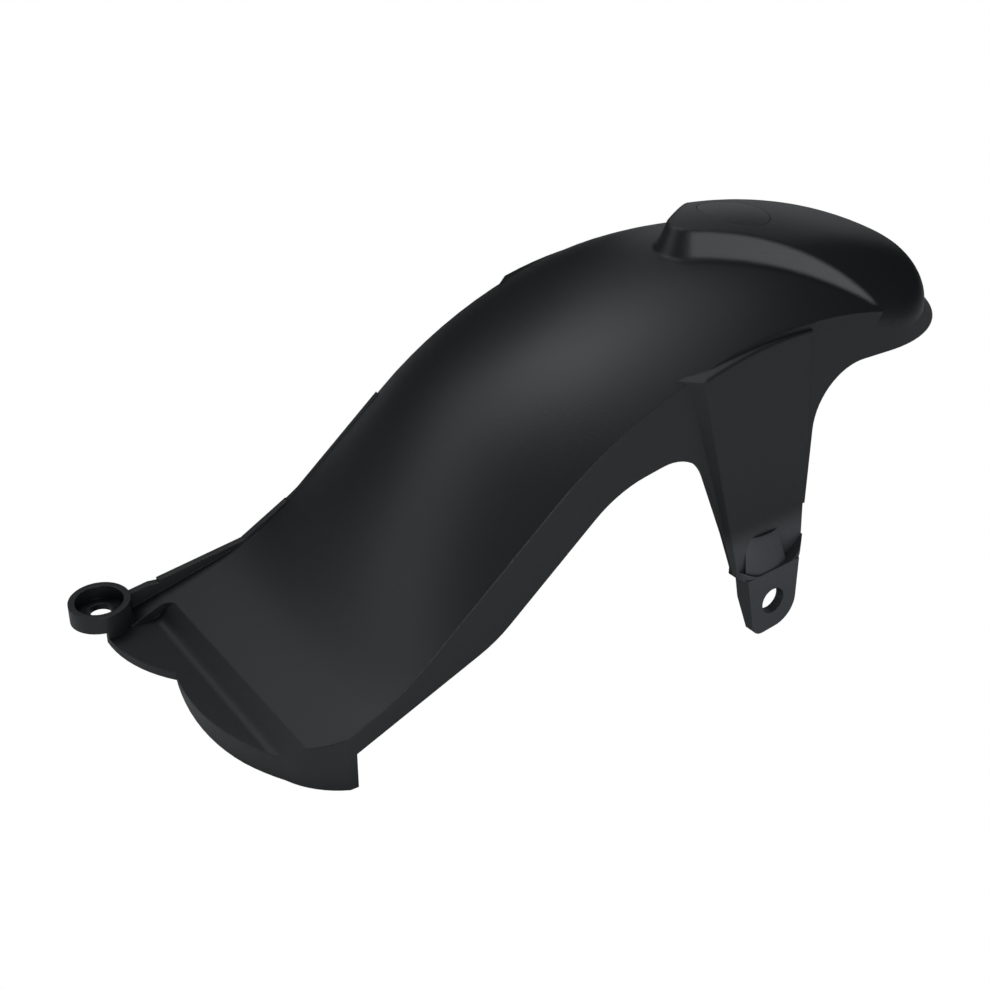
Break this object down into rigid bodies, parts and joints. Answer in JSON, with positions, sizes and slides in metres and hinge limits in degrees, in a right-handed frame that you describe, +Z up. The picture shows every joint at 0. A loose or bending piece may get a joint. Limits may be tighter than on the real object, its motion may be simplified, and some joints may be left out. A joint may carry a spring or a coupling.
{
  "type": "rear mudguard",
  "caption": "Moulded rear mudguard: a crowned arch over a small wheel with a raised tail, two side struts ending in drilled lugs, and a sloped apron with a lip and a fixing eye in front.",
  "frame": {"origin": "midway between the two lug holes, on their common axis", "axes": "+X forward along the vehicle, +Y to its left side along the axis of the lug holes, +Z up"},
  "size_m": [0.2817, 0.1206, 0.1215],
  "materials": {
    "shell": "satin black moulding with a fine texture",
    "cap": "satin black, a little smoother than the shell"
  },
  "bodies": {
    "root": {"mudguard_body": "shell", "oval_cap": "cap"}
  },
  "joints": []
}
